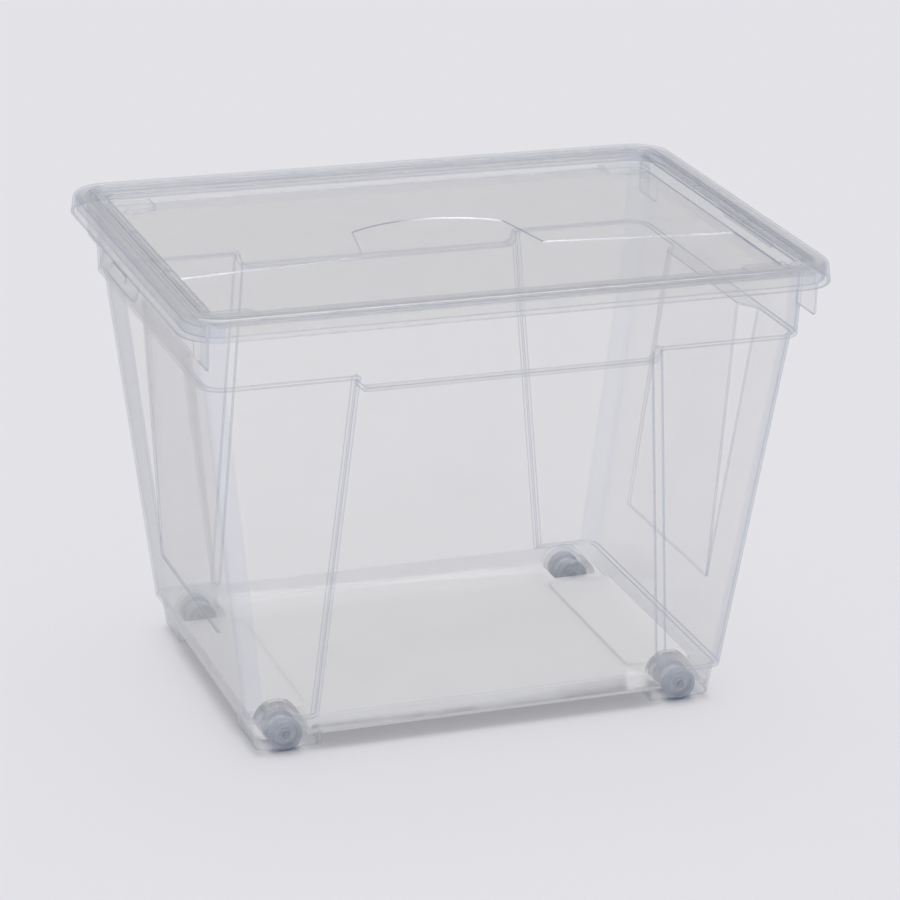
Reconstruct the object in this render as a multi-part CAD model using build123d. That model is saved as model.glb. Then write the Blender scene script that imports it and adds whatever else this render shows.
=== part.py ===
"""Clear stackable storage bin: a tapered tub on four rollers, closed by a lift-off lid.

X runs along the long side, Y along the short side and Z up. The origin is on the floor, under the
centre of the bin. All sizes are in millimetres.
"""

from build123d import *
import os

# ---- lid ----
LID_LENGTH = 560.0  # over the skirt's lower edge, along X
LID_WIDTH = 396.0  # the same, along Y
LID_TOP = 402.0  # crest of the rim, the highest point of the bin
SKIRT_BOTTOM = 384.0
SKIRT_FLARE = 2.0  # each side, from crest to lower edge
LID_CORNER = 34.0
CREST_WIDTH = 16.0  # rounded band round the outside of the rim
LEDGE_DROP = 3.5  # from the crest down to the ledge inside it
RIM_WIDTH = 29.0  # from the skirt to the recess
RECESS_DEPTH = 13.0  # from the crest down to the panel
RECESS_SLOPE = 2.0
RECESS_CORNER = 14.0
SHOULDER_RADIUS = 5.0

# ---- tub ----
WALL = 2.0
SIDE_DRAFT = 0.0565  # lean of the long walls, mm out per mm up
END_DRAFT = 0.133  # lean of the end walls
FOOT_HALF_LENGTH = 205.3  # at the underside of the feet
FOOT_HALF_WIDTH = 143.6
STEP = 5.2  # each step outwards: core to corner post, post to collar
CORNER = 10.0  # upright corners of the core
FOOT_BOTTOM = 4.0  # the rollers reach this far below the feet
BODY_BOTTOM = 14.0
POST_BOTTOM = 31.0
TONGUE_BOTTOM = 323.0  # the collar dips this far over the long panels
COLLAR_BOTTOM = 334.0
COLLAR_DRAFT = 0.025
RIM_TOP = LID_TOP - LEDGE_DROP - WALL  # the lid's ledge rests here
RIM_LIP = 10.0  # height of the turned-down lip
RIM_INSET = 5.0  # from the lid's skirt to the tub's lip

# ---- wall panels ----
PANEL_TOP_HALF = 127.0  # long panels, half width under the collar
PANEL_BOTTOM_HALF = 152.0  # and at the foot of the posts
TONGUE_HALF = 131.0
TONGUE_CORNER = 9.0
PANEL_STEP_RUN = 6.0  # how far the slanted step runs sideways
END_PANEL_TOP_HALF = 75.0
END_PANEL_BOTTOM_HALF = 88.0
END_PANEL_DEPTH = 12.0  # under the collar, fading out downwards
END_PANEL_BOTTOM = 90.0
END_PANEL_FADE = 0.15  # depth left where it fades out
END_STEP_RUN = 1.42  # sideways per mm of depth

# ---- feet, wells and running gear ----
FOOT_LENGTH = 57.0
FOOT_WIDTH = 53.0
FOOT_CORNER = 8.0  # inner upright corners of a foot
RUNNER_RISE = 3.0  # the floor is this much higher along each end
ROLLER_X = 178.0
ROLLER_Y = 125.75
ROLLER_RADIUS = 14.0
ROLLER_WIDTH = 29.5
RIM_BAND = 9.0  # width of each of a roller's two treads
DRUM_RADIUS = 10.0  # between the treads
DISH_RADIUS = 10.5  # hollow in each face of a roller
DISH_DEPTH = 6.0
HUB_RADIUS = 4.6
HUB_WIDTH = 26.0
TREAD_CHAMFER = 1.0
AXLE_RADIUS = 2.5
RUNNING_GAP = 0.05
WELL_RADIUS = 18.0
CHEEK_Y = 107.5  # inner bearing plate, near face
CHEEK_HALF = 12.0
BOSS_Y = 141.0
BOSS_RADIUS = 6.0
SNAP_MOUTH = 4.4  # the axle snaps past this into its seat

# ---- small features of the lid ----
BAR_WIDTH = 9.0
BAR_HEIGHT = 2.4
BAR_GAP_Y = 54.0  # middle of each gap between the stacking bars
BAR_GAP = 5.0
STOP_LENGTH = 40.0
STOP_WIDTH = 26.0
STOP_HEIGHT = 3.0
STOP_CORNER = 8.0
FRONT_STEP = 0.8  # the front part of the panel is this much lower
ARCH_HALF = 80.0
ARCH_SHOULDER = (68.0, 38.0)
ARCH_TOP = 60.0
STEP_LINE_Y = -28.0
STEP_LINE_END_Y = -47.0
LIP_WIDTH = 112.0  # lifting lips on the short ends
LIP_HEIGHT = 20.0
LIP_TOP = 392.0
LIP_TILT = 14.0
LIP_CORNER = 9.0
GRIP_LENGTH = 46.0
GRIP_WIDTH = 7.0

# ---- gusset ribs under the rim ----
GUSSET_BOTTOM = 358.0
GUSSET_ROOT_Y = 150.0
GUSSET_OUTER_Y = 188.0  # inside the lip, clear of the lid
GUSSET_CORNER = 4.0

# ---- construction ----
JOIN = 1.0  # how far added pieces reach into what they join
COLLAR_OVERLAP = 6.0  # and the walls below reach up inside the collar
EXTRA = 12.0  # how far cutting blocks run past a face


def prismatoid(low, high):
    """Solid between two level polygons whose matching edges are parallel, so every side is flat."""
    count = len(low)
    rings = [low, high]
    for i in range(count):
        j = (i + 1) % count
        rings.append([low[i], low[j], high[j], high[i]])
    return Solid(Shell([Face(Wire.make_polygon(points)) for points in rings]))


def frustum(low, high):
    """Solid between two level rectangles, each (half x, half y, z, corner radius of the lower one)."""
    radius = low[3]
    rings = [[(hx, hy, z), (-hx, hy, z), (-hx, -hy, z), (hx, -hy, z)] for hx, hy, z, _ in (low, high)]
    solid = prismatoid(*rings)
    slanted = [edge for edge in solid.edges() if abs(edge.tangent_at(0).Z) > 0.5]
    return fillet(slanted, radius)


def block(x0, x1, y0, y1, z0, z1):
    centre = Pos((x0 + x1) / 2, (y0 + y1) / 2, (z0 + z1) / 2)
    return centre * Box(x1 - x0, y1 - y0, z1 - z0)


def mirrored(shape):
    """The shape and its copies across the two upright centre planes."""
    pair = [shape, shape.mirror(Plane.YZ)]
    return pair + [s.mirror(Plane.XZ) for s in pair]


# ---------------------------------------------------------------- tub


def end_x(z):
    return FOOT_HALF_LENGTH + END_DRAFT * (z - FOOT_BOTTOM)


def side_y(z):
    return FOOT_HALF_WIDTH + SIDE_DRAFT * (z - FOOT_BOTTOM)


def ring(z, proud, inset):
    """Outline of the tub at height z: the core, pushed out by proud and in by inset."""
    grow = proud - inset
    return (end_x(z) + grow, side_y(z) + grow, z, CORNER + grow)


def collar_ring(z, inset):
    grow = 2 * STEP + COLLAR_DRAFT * (z - COLLAR_BOTTOM) - inset
    return (end_x(COLLAR_BOTTOM) + grow, side_y(COLLAR_BOTTOM) + grow, z, CORNER + grow)


def side_panel_cut(inset):
    """Wedge that takes the posts' thickness away in the middle of the front wall."""

    def outline(z, half):
        deep = side_y(z) - inset - 1.0
        far = side_y(z) + STEP + EXTRA
        inner = half + inset - PANEL_STEP_RUN / STEP
        outer = inner + (far - deep) * PANEL_STEP_RUN / STEP
        return [(-inner, -deep, z), (inner, -deep, z), (outer, -far, z), (-outer, -far, z)]

    slope = (PANEL_BOTTOM_HALF - PANEL_TOP_HALF) / (TONGUE_BOTTOM - POST_BOTTOM)
    low = POST_BOTTOM - EXTRA
    high = COLLAR_BOTTOM + EXTRA
    half_low = PANEL_BOTTOM_HALF + slope * (POST_BOTTOM - low)
    half_high = PANEL_TOP_HALF - slope * (high - TONGUE_BOTTOM)
    return prismatoid(outline(low, half_low), outline(high, half_high))


def end_panel_cut(inset):
    """Wedge that hollows the right-hand end wall, deepest under the collar."""

    def outline(z, half, depth):
        post = end_x(z) + STEP - inset
        far = post + EXTRA
        inner = half + inset / 2
        outer = inner + (far - post + depth) * END_STEP_RUN
        return [(post - depth, -inner, z), (post - depth, inner, z), (far, outer, z), (far, -outer, z)]

    rise = COLLAR_BOTTOM - END_PANEL_BOTTOM
    past = (rise + EXTRA) / rise
    top_half = END_PANEL_BOTTOM_HALF + (END_PANEL_TOP_HALF - END_PANEL_BOTTOM_HALF) * past
    top_depth = END_PANEL_FADE + (END_PANEL_DEPTH - END_PANEL_FADE) * past
    low = outline(END_PANEL_BOTTOM, END_PANEL_BOTTOM_HALF, END_PANEL_FADE)
    return prismatoid(low, outline(COLLAR_BOTTOM + EXTRA, top_half, top_depth))


def collar(inset, top):
    """Plain band under the rim, with its lower edge dipping over the two long panels."""
    low = TONGUE_BOTTOM + inset
    step = COLLAR_BOTTOM + inset
    start = low - EXTRA
    band = frustum(collar_ring(start, inset), collar_ring(top, inset))
    half = TONGUE_HALF - inset
    high = step + EXTRA
    profile = Plane.XZ * Pos(0, (low + high) / 2) * RectangleRounded(2 * half, high - low, TONGUE_CORNER)
    tongue = extrude(profile, amount=LID_WIDTH, both=True)
    below = block(-LID_LENGTH, LID_LENGTH, -LID_WIDTH / 2, LID_WIDTH / 2, start - EXTRA, step)
    return band - (below - tongue)


def body(inset):
    """The tub's outside at inset 0, and its hollow at inset WALL."""
    top = COLLAR_BOTTOM + inset + COLLAR_OVERLAP
    posts = frustum(ring(POST_BOTTOM + inset, STEP, inset), ring(top, STEP, inset))
    cut = side_panel_cut(inset)
    posts = posts - cut - cut.mirror(Plane.XZ)
    core = frustum(ring(BODY_BOTTOM + inset, 0, inset), ring(top, 0, inset))
    lower = posts + core
    end_cut = end_panel_cut(inset)
    lower = lower - end_cut - end_cut.mirror(Plane.YZ)
    return lower + collar(inset, RIM_TOP + (EXTRA if inset else 0))


def rim():
    """Flange round the mouth with a turned-down lip."""
    half_x = LID_LENGTH / 2 - RIM_INSET
    half_y = LID_WIDTH / 2 - RIM_INSET
    radius = LID_CORNER - RIM_INSET
    lip_bottom = RIM_TOP - RIM_LIP
    outside = frustum((half_x, half_y, lip_bottom, radius), (half_x, half_y, RIM_TOP, radius))
    under = (half_x - WALL, half_y - WALL, lip_bottom - 1, radius - WALL)
    hollow = frustum(under, (half_x - WALL, half_y - WALL, RIM_TOP - WALL, radius - WALL))
    return outside - hollow


def gusset():
    """Rib between the right front corner of the collar and the rim."""
    x = collar_ring(SKIRT_BOTTOM, 0)[0]
    rib = block(x - WALL, x, -GUSSET_OUTER_Y, -GUSSET_ROOT_Y, GUSSET_BOTTOM, RIM_TOP - WALL / 2)
    edge = rib.edges().filter_by(Axis.X).group_by(Axis.Z)[0].sort_by(Axis.Y)[0]
    return fillet(edge, GUSSET_CORNER)


def foot_region(inset):
    """Right front corner of the floor plan that the foot stands on."""
    x0 = FOOT_HALF_LENGTH - FOOT_LENGTH + inset
    y0 = FOOT_HALF_WIDTH - FOOT_WIDTH + inset
    high = BODY_BOTTOM + (0 if inset else 1)
    low = FOOT_BOTTOM - (1 if inset else 0)
    core = frustum(ring(low, 0, inset), ring(high, 0, inset))
    corner = block(x0, LID_LENGTH / 2, -LID_WIDTH / 2, -y0, low, high)
    edges = corner.edges().filter_by(Axis.Z).sort_by(Axis.X)[:2]
    return core & fillet(edges, FOOT_CORNER - inset)


def across_y(radius, y0, y1, z=ROLLER_RADIUS):
    """Cylinder along Y on the right front roller's axis, between two distances from the centre."""
    return Pos(ROLLER_X, -(y0 + y1) / 2, z) * Rot(90, 0, 0) * Cylinder(radius, y1 - y0)


def well_shell():
    """Dome over the right front roller, its inner bearing plate and the boss on the foot's wall."""
    y_wall = side_y(BODY_BOTTOM) - WALL / 2
    dome = across_y(WELL_RADIUS + WALL, CHEEK_Y, y_wall)
    above = block(ROLLER_X - 40, ROLLER_X + 40, -y_wall, -CHEEK_Y, BODY_BOTTOM, BODY_BOTTOM + 40)
    cheek_x = (ROLLER_X - CHEEK_HALF, ROLLER_X + CHEEK_HALF)
    cheek = block(*cheek_x, -CHEEK_Y - WALL, -CHEEK_Y, FOOT_BOTTOM + 1, BODY_BOTTOM + 1)
    return (dome & above) + cheek


def well_hollow():
    y_wall = side_y(BODY_BOTTOM) - WALL
    y0 = CHEEK_Y + WALL
    barrel = across_y(WELL_RADIUS, y0, y_wall)
    mouth_x = (ROLLER_X - WELL_RADIUS, ROLLER_X + WELL_RADIUS)
    return barrel + block(*mouth_x, -y_wall, -y0, FOOT_BOTTOM - 1, ROLLER_RADIUS)


def axle_seats():
    """Boss on the foot's wall, and the keyhole that both ends of the axle snap up into."""
    boss = across_y(BOSS_RADIUS, BOSS_Y - WALL / 2, side_y(BODY_BOTTOM) - WALL / 2)
    seat = across_y(AXLE_RADIUS + RUNNING_GAP, CHEEK_Y - 1, BOSS_Y + WALL / 4)
    mouth = block(
        ROLLER_X - SNAP_MOUTH / 2,
        ROLLER_X + SNAP_MOUTH / 2,
        -BOSS_Y - WALL / 4,
        -CHEEK_Y + 1,
        FOOT_BOTTOM - 1,
        ROLLER_RADIUS,
    )
    return boss, seat + mouth


def runner():
    """Underside of the floor is raised along the right-hand end, between the feet."""
    x0 = FOOT_HALF_LENGTH - FOOT_LENGTH
    y0 = FOOT_HALF_WIDTH - FOOT_WIDTH
    slot = block(x0, LID_LENGTH / 2, -y0, y0, FOOT_BOTTOM, BODY_BOTTOM + RUNNER_RISE)
    pad = block(x0 - WALL, LID_LENGTH / 2, -y0 - WALL, y0 + WALL, BODY_BOTTOM, BODY_BOTTOM + RUNNER_RISE + WALL)
    return slot, pad & body(WALL / 2)


def tub():
    shell = body(0) + rim()
    for part in mirrored(gusset()) + mirrored(foot_region(0)):
        shell = shell + part
    shell = shell - body(WALL)
    slot, pad = runner()
    boss, seat = axle_seats()
    for side in (pad, pad.mirror(Plane.YZ)):
        shell = shell + side
    for part in mirrored(foot_region(WALL)) + [slot, slot.mirror(Plane.YZ)]:
        shell = shell - part
    for part in mirrored(well_shell()):
        shell = shell + part
    for part in mirrored(well_hollow()):
        shell = shell - part
    for part in mirrored(boss):
        shell = shell + part
    for part in mirrored(seat):
        shell = shell - part
    return shell


# ---------------------------------------------------------------- lid


def lid_ring(inset, z):
    """Level outline of the lid, in from the skirt's lower edge by inset."""
    return (LID_LENGTH / 2 - inset, LID_WIDTH / 2 - inset, z, LID_CORNER - inset)


def rim_block(inset, top, shoulder):
    """The lid's outside at inset 0, and the hollow under its rim at inset WALL."""
    low = SKIRT_BOTTOM - (1 if inset else 0)
    solid = frustum(lid_ring(inset, low), lid_ring(inset + SKIRT_FLARE, top))
    return fillet(solid.faces().sort_by(Axis.Z)[-1].edges(), shoulder)


def recess_ring(grow, z):
    reach = RIM_WIDTH - grow
    return (LID_LENGTH / 2 - reach, LID_WIDTH / 2 - reach, z, RECESS_CORNER + grow)


def well_block(grow):
    """Space inside the rim, above the ledge and the panel, grown by one wall for the underside."""
    ledge_z = LID_TOP - LEDGE_DROP - grow
    panel_z = LID_TOP - RECESS_DEPTH - grow
    above = LID_TOP + EXTRA
    ledge = frustum(lid_ring(CREST_WIDTH - grow, ledge_z), lid_ring(CREST_WIDTH - grow, above))
    recess = frustum(recess_ring(grow - RECESS_SLOPE, panel_z), recess_ring(grow, ledge_z + 1))
    return ledge + recess


def stacking_bars():
    """Three low bars along the ledge at the right-hand end."""
    x1 = LID_LENGTH / 2 - RIM_WIDTH + BAR_WIDTH
    z0 = LID_TOP - LEDGE_DROP
    end = LID_WIDTH / 2 - RIM_WIDTH - BAR_GAP
    near = BAR_GAP_Y - BAR_GAP / 2
    far = BAR_GAP_Y + BAR_GAP / 2
    spans = [(-end, -far), (-near, near), (far, end)]
    return [block(x1 - BAR_WIDTH + 0.5, x1, y0, y1, z0 - 0.5, z0 + BAR_HEIGHT) for y0, y1 in spans]


def corner_stop():
    """Raised pad in the right front corner of the recess: it locates the foot of the bin above."""
    x1 = LID_LENGTH / 2 - RIM_WIDTH - RECESS_SLOPE / 2
    y1 = LID_WIDTH / 2 - RIM_WIDTH - RECESS_SLOPE / 2
    z0 = LID_TOP - RECESS_DEPTH
    pad = block(x1 - STOP_LENGTH, x1, -y1, -y1 + STOP_WIDTH, z0 - JOIN, z0 + STOP_HEIGHT)
    inner = pad.edges().filter_by(Axis.Z).group_by(Axis.X)[0].sort_by(Axis.Y)[-1]
    pad = fillet(inner, STOP_CORNER)
    middle = WALL / 2  # of the recess wall, which the pad ends in
    low = recess_ring(middle - RECESS_SLOPE, z0)
    high = recess_ring(middle, LID_TOP - LEDGE_DROP)
    lean = RECESS_SLOPE / (high[2] - low[2])
    start = recess_ring(middle - RECESS_SLOPE - lean * 2 * JOIN, z0 - 2 * JOIN)
    return pad & frustum(start, high)


def front_step():
    """Shallow pocket over the front of the panel, with an arch reaching back in the middle."""
    wide = LID_LENGTH / 2 - RIM_WIDTH - RECESS_SLOPE - 1
    front = -(LID_WIDTH / 2 - RIM_WIDTH - RECESS_SLOPE - 1)
    sx, sy = ARCH_SHOULDER
    edge = [
        Polyline((-sx, sy), (-ARCH_HALF, STEP_LINE_Y), (-wide, STEP_LINE_END_Y), (-wide, front)),
        Line((-wide, front), (wide, front)),
        Polyline((wide, front), (wide, STEP_LINE_END_Y), (ARCH_HALF, STEP_LINE_Y), (sx, sy)),
        ThreePointArc((sx, sy), (0, ARCH_TOP), (-sx, sy)),
    ]
    z = LID_TOP - RECESS_DEPTH
    return extrude(Plane.XY.offset(z - FRONT_STEP) * make_face(edge), amount=FRONT_STEP + 1)


def lifting_lip():
    """Flared lip with a grip bar, under the middle of the right-hand end of the skirt."""
    top_x = LID_LENGTH / 2 - SKIRT_FLARE * (LIP_TOP - SKIRT_BOTTOM) / (LID_TOP - SKIRT_BOTTOM)
    tilted = Plane(origin=(top_x, 0, LIP_TOP), x_dir=(0, 1, 0), z_dir=Vector(1, 0, 0).rotate(Axis.Y, -LIP_TILT))
    outline = Pos(0, -LIP_HEIGHT / 2) * Rectangle(LIP_WIDTH, LIP_HEIGHT)
    outline = fillet(outline.vertices().group_by(Axis.Y)[0], LIP_CORNER)
    plate = extrude(tilted * outline, amount=-WALL)
    grip = extrude(
        tilted * Pos(0, -LIP_HEIGHT / 2) * SlotOverall(GRIP_LENGTH, GRIP_WIDTH),
        amount=WALL / 2,
    )
    return plate + grip


def lid():
    rim_outside = rim_block(0, LID_TOP, SHOULDER_RADIUS)
    underside = rim_block(WALL, LID_TOP - WALL, SHOULDER_RADIUS - WALL) - well_block(WALL)
    lip = lifting_lip()
    shell = rim_outside + lip + lip.mirror(Plane.YZ) - underside - well_block(0)
    for bar in stacking_bars():
        shell = shell + bar + bar.mirror(Plane.YZ)
    shell = shell - front_step()
    for stop in mirrored(corner_stop()):
        shell = shell + stop
    return shell


# ---------------------------------------------------------------- rollers and axles


def roller():
    """Right front roller: two treads on a drum, dished faces and a hub, turned about its axle."""
    half = ROLLER_WIDTH / 2
    drum = half - RIM_BAND
    bore = AXLE_RADIUS + RUNNING_GAP
    half_outline = [
        (bore, HUB_WIDTH / 2),
        (HUB_RADIUS, HUB_WIDTH / 2),
        (HUB_RADIUS, half - DISH_DEPTH),
        (DISH_RADIUS, half - DISH_DEPTH),
        (DISH_RADIUS, half),
        (ROLLER_RADIUS - TREAD_CHAMFER, half),
        (ROLLER_RADIUS, half - TREAD_CHAMFER),
        (ROLLER_RADIUS, drum),
        (DRUM_RADIUS, drum),
    ]
    outline = half_outline + [(r, -y) for r, y in reversed(half_outline)]
    turned = revolve(make_face(Polyline(*outline, close=True)), Axis.Y)
    return Pos(ROLLER_X, -ROLLER_Y, ROLLER_RADIUS) * turned


def axle():
    return across_y(AXLE_RADIUS, CHEEK_Y - 0.5, BOSS_Y)


CORNERS = {
    "front_right": (),
    "front_left": (Plane.YZ,),
    "back_right": (Plane.XZ,),
    "back_left": (Plane.YZ, Plane.XZ),
}


def at_corner(shape, planes):
    for plane in planes:
        shape = shape.mirror(plane)
    return shape


def single(shape):
    """The shape as its one solid, so that each file holds exactly one."""
    solids = shape.solids()
    assert len(solids) == 1, len(solids)
    return solids[0]


def main():
    os.makedirs("parts", exist_ok=True)
    pieces = {"tub": tub(), "lid": lid()}
    for corner, planes in CORNERS.items():
        pieces["roller_" + corner] = at_corner(roller(), planes)
        pieces["axle_" + corner] = at_corner(axle(), planes)
    for name, shape in pieces.items():
        export_step(single(shape), os.path.join("parts", name + ".step"))


main()
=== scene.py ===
import math

import bmesh
import bpy
from mathutils import Matrix, Vector

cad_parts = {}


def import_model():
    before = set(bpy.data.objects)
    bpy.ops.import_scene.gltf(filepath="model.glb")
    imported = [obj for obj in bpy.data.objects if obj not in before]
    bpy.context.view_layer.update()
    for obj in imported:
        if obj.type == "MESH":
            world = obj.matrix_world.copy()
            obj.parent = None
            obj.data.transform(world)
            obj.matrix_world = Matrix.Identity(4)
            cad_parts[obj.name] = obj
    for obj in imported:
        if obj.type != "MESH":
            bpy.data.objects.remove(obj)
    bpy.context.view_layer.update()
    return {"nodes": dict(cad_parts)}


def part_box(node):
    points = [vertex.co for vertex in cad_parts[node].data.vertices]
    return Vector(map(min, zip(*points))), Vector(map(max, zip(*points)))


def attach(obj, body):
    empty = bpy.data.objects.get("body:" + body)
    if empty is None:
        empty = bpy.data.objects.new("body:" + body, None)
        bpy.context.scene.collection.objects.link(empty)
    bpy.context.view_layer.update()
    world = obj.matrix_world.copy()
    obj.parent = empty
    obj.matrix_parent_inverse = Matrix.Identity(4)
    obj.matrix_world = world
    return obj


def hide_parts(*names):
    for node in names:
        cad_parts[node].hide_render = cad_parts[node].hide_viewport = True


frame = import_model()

MM = 0.001
scene = bpy.context.scene
nodes = frame["nodes"]
CORNERS = ("front_right", "front_left", "back_right", "back_left")

# ---- view ----
CAMERA_AZIMUTH = -20.335
CAMERA_ELEVATION = 20.709
CAMERA_ROLL = 1.563
CAMERA_DISTANCE = 3.017
CAMERA_TARGET = Vector((0.0104, -0.0038, 0.1985))
CAMERA_LENS = 139.73
CAMERA_REACH = 60
CLEAR_LAYERS = 48  # how many clear surfaces a line of sight may cross

# ---- edge rounding ----
EDGE_RADIUS = 0.6 * MM
EDGE_STEPS = 2
EDGE_ANGLE = math.radians(32)
SMOOTH_ANGLE = math.radians(40)
WELD = 0.002 * MM

# ---- parts of the tub ----
FOOT_TOP = 34 * MM  # the feet, and the roller wells in them, end at this height
SHARP_BOTTOM = 4.1 * MM  # from here up to FOOT_TOP, edges inside the tub are left sharp
SHARP_HALF = (204.5 * MM, 142.5 * MM)
BASE_BOTTOM = 13.5 * MM  # the tub's floor and its low steps lie between these heights
BASE_TOP = 22 * MM
BASE_HALF = (208 * MM, 145 * MM)
STEP_END = 94 * MM  # the steps stop here; beyond lie the roller wells and the foot walls
LEVEL = 0.9  # a face whose normal is this close to upright is level

# ---- sorting faces ----
WALL, EDGE, CURVE, BASE, FOOT = range(5)
NARROW = 6 * MM  # flat areas narrower than this, and every curve, are drawn as thicker plastic
SAME_PLANE = math.radians(0.6)

# ---- clear plastic ----
PALE = (0.94, 0.935, 0.94)
STEEL = (0.84, 0.87, 0.93)
MILK = (0.93, 0.935, 0.965)
FACING_BLEND = 0.5
TINT_POWER = 2.6
MIRROR_POWER = 5.0
MIRROR_AT_EDGE = 0.8
NOISE_LOW = 0.3  # nearly all of a noise texture's values lie between these two
NOISE_HIGH = 0.7

# ---- rollers ----
TREAD_DARK = (0.28, 0.345, 0.49)
TREAD_LIGHT = (0.42, 0.49, 0.63)
DISH = (0.84, 0.87, 0.92)
DISH_SHARE = 0.85
ROLLER_ALPHA = 0.64
AXLE_DARK = (0.18, 0.24, 0.37)
AXLE_LIGHT = (0.27, 0.33, 0.46)
HUB_INNER = 3.0 * MM
HUB_OUTER = 5.0 * MM
TREAD_INNER = 9.6 * MM
TREAD_OUTER = 10.8 * MM
axle_low, axle_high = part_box("axle_front_right")
AXLE_X = (axle_low.x + axle_high.x) / 2
AXLE_Z = (axle_low.z + axle_high.z) / 2

# ---- stage ----
ROOM_TOP = 0.385
ROOM_WALL = 0.40
ROOM_POWER = 2.0
ROOM_COLOUR = (0.98, 0.985, 1.0)
SUN_TOWARDS = (0.08, 0.22, 1.0)
SUN_STRENGTH = 1.68
SUN_WIDTH = math.radians(42)
SUN_COLOUR = (1.0, 0.99, 0.975)
FLOOR_COLOUR = (0.80, 0.80, 0.835)
FLOOR_REACH = 14.0

# ---- sockets of a colour Mix node ----
MIX_FIRST = 6
MIX_SECOND = 7
MIX_RESULT = 2


# ---------------------------------------------------------------- shader nodes


def new_material(name):
    material = bpy.data.materials.new(name)
    material.use_nodes = True
    tree = material.node_tree
    tree.nodes.clear()
    return material, tree, tree.nodes.new("ShaderNodeOutputMaterial")


def feed(tree, socket, value):
    """Links a socket to another one, or sets it to a number or colour."""
    if isinstance(value, bpy.types.NodeSocket):
        tree.links.new(value, socket)
    else:
        socket.default_value = value


def math_node(tree, operation, *values):
    node = tree.nodes.new("ShaderNodeMath")
    node.operation = operation
    for socket, value in zip(node.inputs, values):
        feed(tree, socket, value)
    return node.outputs[0]


def noise(tree, scale, detail, stretch=(1, 1, 1)):
    """Noise over the piece's own position in metres."""
    coordinates = tree.nodes.new("ShaderNodeTexCoord")
    mapping = tree.nodes.new("ShaderNodeMapping")
    mapping.inputs["Scale"].default_value = stretch
    texture = tree.nodes.new("ShaderNodeTexNoise")
    texture.inputs["Scale"].default_value = scale
    texture.inputs["Detail"].default_value = detail
    tree.links.new(coordinates.outputs["Object"], mapping.inputs["Vector"])
    tree.links.new(mapping.outputs["Vector"], texture.inputs["Vector"])
    return texture.outputs[0]


def between(tree, value, low, high):
    """Spreads a noise value over low to high."""
    node = tree.nodes.new("ShaderNodeMapRange")
    node.inputs["From Min"].default_value = NOISE_LOW
    node.inputs["From Max"].default_value = NOISE_HIGH
    node.inputs["To Min"].default_value = low
    node.inputs["To Max"].default_value = high
    tree.links.new(value, node.inputs["Value"])
    return node.outputs["Result"]


def smooth_step(tree, value, start, end):
    """0 up to start, 1 from end on, and a smooth rise between them."""
    node = tree.nodes.new("ShaderNodeMapRange")
    node.interpolation_type = "SMOOTHSTEP"
    node.inputs["From Min"].default_value = start
    node.inputs["From Max"].default_value = end
    tree.links.new(value, node.inputs["Value"])
    return node.outputs["Result"]


def solid(colour):
    return (*colour, 1)


def colour_mix(tree, factor, first, second):
    node = tree.nodes.new("ShaderNodeMix")
    node.data_type = "RGBA"
    feed(tree, node.inputs["Factor"], factor)
    feed(tree, node.inputs[MIX_FIRST], first)
    feed(tree, node.inputs[MIX_SECOND], second)
    return node.outputs[MIX_RESULT]


def shader_mix(tree, factor, first, second):
    node = tree.nodes.new("ShaderNodeMixShader")
    feed(tree, node.inputs[0], factor)
    tree.links.new(first, node.inputs[1])
    tree.links.new(second, node.inputs[2])
    return node.outputs[0]


def bumps(tree, height, strength, depth):
    node = tree.nodes.new("ShaderNodeBump")
    node.inputs["Strength"].default_value = strength
    node.inputs["Distance"].default_value = depth
    tree.links.new(height, node.inputs["Height"])
    return node.outputs[0]


def plain_shader(tree, kind, colour):
    node = tree.nodes.new(kind)
    feed(tree, node.inputs["Color"], colour)
    return node.outputs[0]


# ---------------------------------------------------------------- materials


def clear_plastic(name, tint, slant_tint, haze, cloud, passes, gloss=0.04, glow=0.5):
    """Clear moulded plastic, tinted more at a slant, with a little uneven haze.

    cloud is the least and the most haze. glow is the share of the haze that is lit from behind. passes is the
    share of light that one surface lets on to what is behind it.
    """
    material, tree, output = new_material(name)
    weight = tree.nodes.new("ShaderNodeLayerWeight")
    weight.inputs["Blend"].default_value = FACING_BLEND
    slant = weight.outputs["Facing"]

    lean = math_node(tree, "POWER", slant, TINT_POWER)
    tinted = colour_mix(tree, lean, solid(tint), solid(slant_tint))
    clear = plain_shader(tree, "ShaderNodeBsdfTransparent", tinted)

    front_lit = plain_shader(tree, "ShaderNodeBsdfDiffuse", solid(haze))
    back_lit = plain_shader(tree, "ShaderNodeBsdfTranslucent", solid(haze))
    milk = shader_mix(tree, glow, front_lit, back_lit)
    share = between(tree, noise(tree, scale=9, detail=4), *cloud)
    body = shader_mix(tree, share, clear, milk)

    ripple = noise(tree, scale=26, detail=3, stretch=(1, 1, 0.45))
    mirror = tree.nodes.new("ShaderNodeBsdfGlossy")
    roughness = between(tree, noise(tree, scale=60, detail=3), low=0.05, high=0.13)
    tree.links.new(roughness, mirror.inputs["Roughness"])
    tree.links.new(bumps(tree, ripple, strength=0.1, depth=0.4 * MM), mirror.inputs["Normal"])
    rise = math_node(tree, "POWER", slant, MIRROR_POWER)
    mirrored = math_node(tree, "MULTIPLY_ADD", rise, MIRROR_AT_EDGE, gloss)
    surface = shader_mix(tree, mirrored, body, mirror.outputs[0])

    path = tree.nodes.new("ShaderNodeLightPath")
    onward = plain_shader(tree, "ShaderNodeBsdfTransparent", solid((passes, passes, passes)))
    bounced = shader_mix(tree, path.outputs["Is Diffuse Ray"], surface, onward)
    lit = shader_mix(tree, path.outputs["Is Shadow Ray"], bounced, onward)
    tree.links.new(lit, output.inputs["Surface"])
    return material


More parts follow.
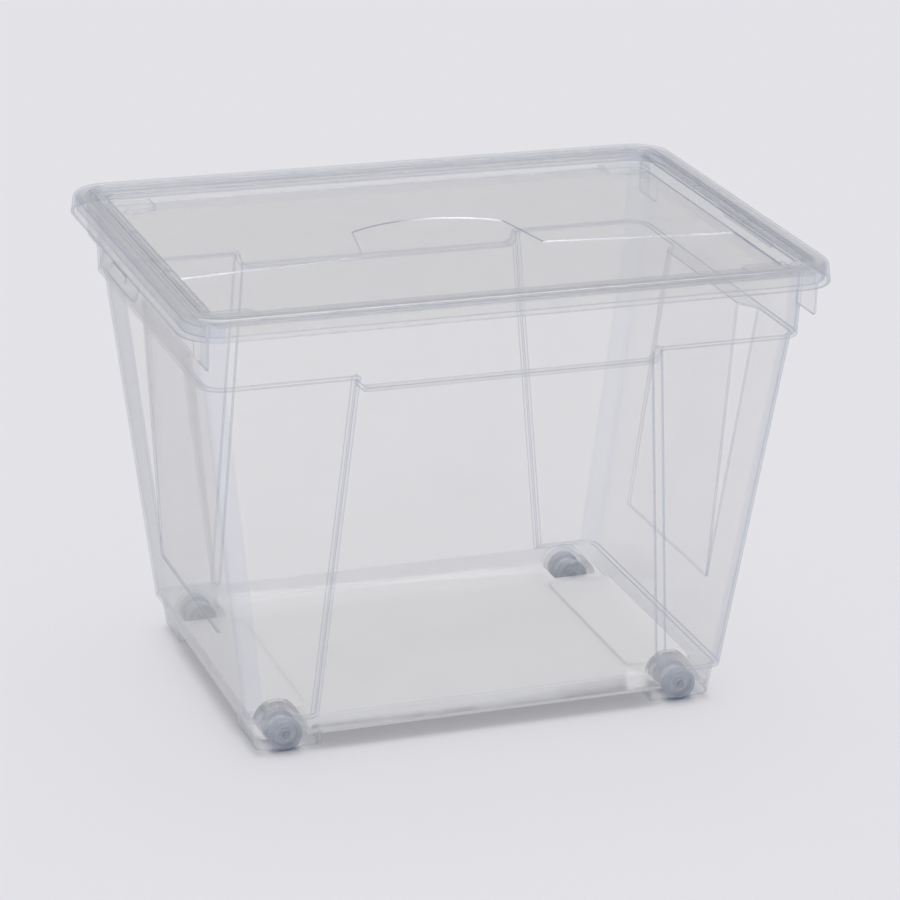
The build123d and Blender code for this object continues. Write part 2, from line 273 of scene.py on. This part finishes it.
def tub_materials():
    """In the order of WALL, EDGE, CURVE, BASE and FOOT."""
    wall = clear_plastic(
        "tub_wall",
        tint=(0.992, 0.991, 0.990),
        slant_tint=(0.92, 0.922, 0.93),
        haze=PALE,
        cloud=(0.025, 0.045),
        passes=0.985,
    )
    edge = clear_plastic(
        "tub_edge",
        tint=(0.74, 0.78, 0.85),
        slant_tint=(0.50, 0.56, 0.68),
        haze=STEEL,
        cloud=(0.05, 0.10),
        passes=0.95,
        gloss=0.22,
    )
    curve = clear_plastic(
        "tub_curve",
        tint=(0.96, 0.966, 0.98),
        slant_tint=(0.78, 0.82, 0.885),
        haze=PALE,
        cloud=(0.03, 0.06),
        passes=0.97,
        gloss=0.06,
    )
    base = clear_plastic(
        "tub_base",
        tint=(0.975, 0.975, 0.98),
        slant_tint=(0.92, 0.925, 0.94),
        haze=MILK,
        cloud=(0.60, 0.66),
        passes=0.67,
        glow=0.05,
    )
    foot = clear_plastic(
        "tub_foot",
        tint=(0.985, 0.985, 0.987),
        slant_tint=(0.92, 0.925, 0.94),
        haze=MILK,
        cloud=(0.15, 0.20),
        passes=0.96,
    )
    return wall, edge, curve, base, foot


def lid_materials():
    """In the order of WALL, EDGE and CURVE."""
    wall = clear_plastic(
        "lid_wall",
        tint=(0.99, 0.988, 0.988),
        slant_tint=(0.93, 0.932, 0.94),
        haze=PALE,
        cloud=(0.065, 0.09),
        passes=0.975,
    )
    edge = clear_plastic(
        "lid_edge",
        tint=(0.72, 0.76, 0.84),
        slant_tint=(0.48, 0.53, 0.65),
        haze=STEEL,
        cloud=(0.05, 0.10),
        passes=0.975,
        gloss=0.28,
    )
    curve = clear_plastic(
        "lid_curve",
        tint=(0.968, 0.972, 0.983),
        slant_tint=(0.82, 0.852, 0.91),
        haze=PALE,
        cloud=(0.03, 0.06),
        passes=0.985,
        gloss=0.07,
    )
    return wall, edge, curve


def distance_from_axle(tree):
    """How far a point of a roller is from its own axle, in metres."""
    coordinates = tree.nodes.new("ShaderNodeTexCoord")
    split = tree.nodes.new("ShaderNodeSeparateXYZ")
    tree.links.new(coordinates.outputs["Object"], split.inputs[0])
    along = math_node(tree, "SUBTRACT", math_node(tree, "ABSOLUTE", split.outputs["X"]), AXLE_X)
    up = math_node(tree, "SUBTRACT", split.outputs["Z"], AXLE_Z)
    along_squared = math_node(tree, "POWER", along, 2.0)
    up_squared = math_node(tree, "POWER", up, 2.0)
    return math_node(tree, "SQRT", math_node(tree, "ADD", along_squared, up_squared))


def roller_plastic():
    """Translucent blue-grey plastic: deep in the thick treads and hub, pale in the thin dish between."""
    material, tree, output = new_material("roller_plastic")
    shader = tree.nodes.new("ShaderNodeBsdfPrincipled")
    patches = between(tree, noise(tree, scale=140, detail=4), low=0, high=1)
    mottle = colour_mix(tree, patches, solid(TREAD_DARK), solid(TREAD_LIGHT))
    radius = distance_from_axle(tree)
    past_hub = smooth_step(tree, radius, HUB_INNER, HUB_OUTER)
    in_tread = smooth_step(tree, radius, TREAD_INNER, TREAD_OUTER)
    thin = math_node(tree, "SUBTRACT", past_hub, in_tread)
    pale_share = math_node(tree, "MULTIPLY", thin, DISH_SHARE)
    tree.links.new(colour_mix(tree, pale_share, mottle, solid(DISH)), shader.inputs["Base Color"])
    roughness = between(tree, noise(tree, scale=420, detail=5), low=0.22, high=0.42)
    tree.links.new(roughness, shader.inputs["Roughness"])
    shader.inputs["Alpha"].default_value = ROLLER_ALPHA
    grain = bumps(tree, noise(tree, scale=700, detail=4), strength=0.15, depth=0.1 * MM)
    tree.links.new(grain, shader.inputs["Normal"])
    tree.links.new(shader.outputs[0], output.inputs["Surface"])
    return material


def axle_plastic():
    material, tree, output = new_material("axle_plastic")
    shader = tree.nodes.new("ShaderNodeBsdfPrincipled")
    patches = between(tree, noise(tree, scale=300, detail=3), low=0, high=1)
    mottle = colour_mix(tree, patches, solid(AXLE_DARK), solid(AXLE_LIGHT))
    tree.links.new(mottle, shader.inputs["Base Color"])
    roughness = between(tree, noise(tree, scale=500, detail=3), low=0.2, high=0.32)
    tree.links.new(roughness, shader.inputs["Roughness"])
    tree.links.new(shader.outputs[0], output.inputs["Surface"])
    return material


# ---------------------------------------------------------------- pieces


def within(point, half, bottom, top):
    """Whether a point is over the middle rectangle of that half size, and between two heights."""
    return abs(point.x) < half[0] and abs(point.y) < half[1] and bottom < point.z < top


def corner_edges(mesh):
    """Edges where two faces really meet at a corner, apart from those low down inside the tub.

    Rounding those would push the mesh out of the object's box.
    """
    found = []
    for edge in mesh.edges:
        middle = (edge.verts[0].co + edge.verts[1].co) / 2
        sharp = len(edge.link_faces) == 2 and edge.calc_face_angle(0) > EDGE_ANGLE
        if sharp and not within(middle, SHARP_HALF, SHARP_BOTTOM, FOOT_TOP):
            found.append(edge)
    return found


def flat_areas(mesh):
    """The mesh's faces, grouped into flat areas."""
    areas = []
    seen = set()
    for start in mesh.faces:
        if start in seen:
            continue
        seen.add(start)
        area = []
        todo = [start]
        while todo:
            face = todo.pop()
            area.append(face)
            for edge in face.edges:
                if len(edge.link_faces) != 2 or edge.calc_face_angle(0) > SAME_PLANE:
                    continue
                for beyond in edge.link_faces:
                    if beyond not in seen:
                        seen.add(beyond)
                        todo.append(beyond)
        areas.append(area)
    return areas


def width_of(area):
    """About how wide a flat area is: twice its surface over its outline."""
    inside = set(area)
    outline = 0
    for face in area:
        for edge in face.edges:
            if any(beyond not in inside for beyond in edge.link_faces):
                outline += edge.calc_length()
    return 2 * sum(face.calc_area() for face in area) / max(outline, MM)


def sort_faces(mesh):
    for area in flat_areas(mesh):
        narrow = width_of(area) < NARROW
        for face in area:
            face.material_index = CURVE if narrow else WALL


def mark_base(mesh):
    """The tub's floor, with the low steps in it, is one milky area, and its feet are a little milky."""
    for face in mesh.faces:
        points = [vertex.co for vertex in face.verts]
        level = abs(face.normal.z) > LEVEL
        step = all(abs(point.y) < STEP_END for point in points)
        low = all(within(point, BASE_HALF, BASE_BOTTOM, BASE_TOP) for point in points)
        if low and (level or step):
            face.material_index = BASE
        elif face.material_index != EDGE and all(point.z < FOOT_TOP for point in points):
            face.material_index = FOOT


def moulded_piece(node, name, materials, body):
    """The CAD node's shape with its edges rounded. The roundings take the second material."""
    mesh = bmesh.new()
    mesh.from_mesh(nodes[node].data)
    bmesh.ops.remove_doubles(mesh, verts=mesh.verts, dist=WELD)
    sort_faces(mesh)
    bmesh.ops.bevel(
        mesh,
        geom=corner_edges(mesh),
        offset=EDGE_RADIUS,
        offset_type="OFFSET",
        segments=EDGE_STEPS,
        profile=0.5,
        affect="EDGES",
        clamp_overlap=False,
        material=EDGE,
    )
    if len(materials) > BASE:
        mark_base(mesh)
    data = bpy.data.meshes.new(name)
    mesh.to_mesh(data)
    mesh.free()
    for material in materials:
        data.materials.append(material)
    piece = bpy.data.objects.new(name, data)
    scene.collection.objects.link(piece)
    data.shade_smooth()
    data.set_sharp_from_angle(angle=SMOOTH_ANGLE)
    flat = piece.modifiers.new("flat_faces", "WEIGHTED_NORMAL")
    flat.keep_sharp = True
    flat.weight = 100
    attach(piece, body)
    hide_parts(node)


def paint(node, material):
    piece = nodes[node]
    piece.data.materials.clear()
    piece.data.materials.append(material)


# ---------------------------------------------------------------- stage


def key_light():
    """Even soft light from above and slightly behind."""
    light = bpy.data.lights.new("key", "SUN")
    light.energy = SUN_STRENGTH
    light.angle = SUN_WIDTH
    light.color = SUN_COLOUR
    holder = bpy.data.objects.new("key", light)
    scene.collection.objects.link(holder)
    holder.rotation_euler = Vector(SUN_TOWARDS).to_track_quat("Z", "Y").to_euler()


def floor():
    mesh = bpy.data.meshes.new("floor")
    sides = ((-1, -1), (1, -1), (1, 1), (-1, 1))
    corners = [(x * FLOOR_REACH, y * FLOOR_REACH, 0) for x, y in sides]
    mesh.from_pydata(corners, [], [(0, 1, 2, 3)])
    piece = bpy.data.objects.new("floor", mesh)
    scene.collection.objects.link(piece)
    material, tree, output = new_material("floor")
    matt = plain_shader(tree, "ShaderNodeBsdfDiffuse", solid(FLOOR_COLOUR))
    tree.links.new(matt, output.inputs["Surface"])
    mesh.materials.append(material)


def world():
    """A soft white room, brightest low down, where its walls are lit."""
    made = bpy.data.worlds.new("studio")
    scene.world = made
    made.use_nodes = True
    tree = made.node_tree
    background = tree.nodes["Background"]
    background.inputs["Color"].default_value = solid(ROOM_COLOUR)
    coordinates = tree.nodes.new("ShaderNodeTexCoord")
    split = tree.nodes.new("ShaderNodeSeparateXYZ")
    tree.links.new(coordinates.outputs["Generated"], split.inputs[0])
    height = math_node(tree, "MAXIMUM", split.outputs["Z"], 0.0)
    low_down = math_node(tree, "POWER", math_node(tree, "SUBTRACT", 1.0, height), ROOM_POWER)
    strength = math_node(tree, "MULTIPLY_ADD", low_down, ROOM_WALL, ROOM_TOP)
    tree.links.new(strength, background.inputs["Strength"])


def camera():
    azimuth = math.radians(CAMERA_AZIMUTH)
    elevation = math.radians(CAMERA_ELEVATION)
    back = Vector((
        math.sin(azimuth) * math.cos(elevation),
        -math.cos(azimuth) * math.cos(elevation),
        math.sin(elevation),
    ))
    level_right = Vector((math.cos(azimuth), math.sin(azimuth), 0))
    right = Matrix.Rotation(math.radians(CAMERA_ROLL), 3, back) @ level_right
    up = back.cross(right)
    data = bpy.data.cameras.new("camera")
    data.lens = CAMERA_LENS
    data.clip_end = CAMERA_REACH
    holder = bpy.data.objects.new("camera", data)
    scene.collection.objects.link(holder)
    basis = Matrix((right, up, back)).transposed().to_4x4()
    holder.matrix_world = Matrix.Translation(CAMERA_TARGET + back * CAMERA_DISTANCE) @ basis
    scene.camera = holder


def main():
    moulded_piece("tub", "tub_shell", tub_materials(), "tub")
    moulded_piece("lid", "lid_shell", lid_materials(), "lid")
    rollers = roller_plastic()
    axles = axle_plastic()
    for corner in CORNERS:
        paint("roller_" + corner, rollers)
        paint("axle_" + corner, axles)
    floor()
    world()
    key_light()
    camera()
    scene.view_settings.view_transform = "Standard"
    scene.cycles.transparent_max_bounces = CLEAR_LAYERS


main()
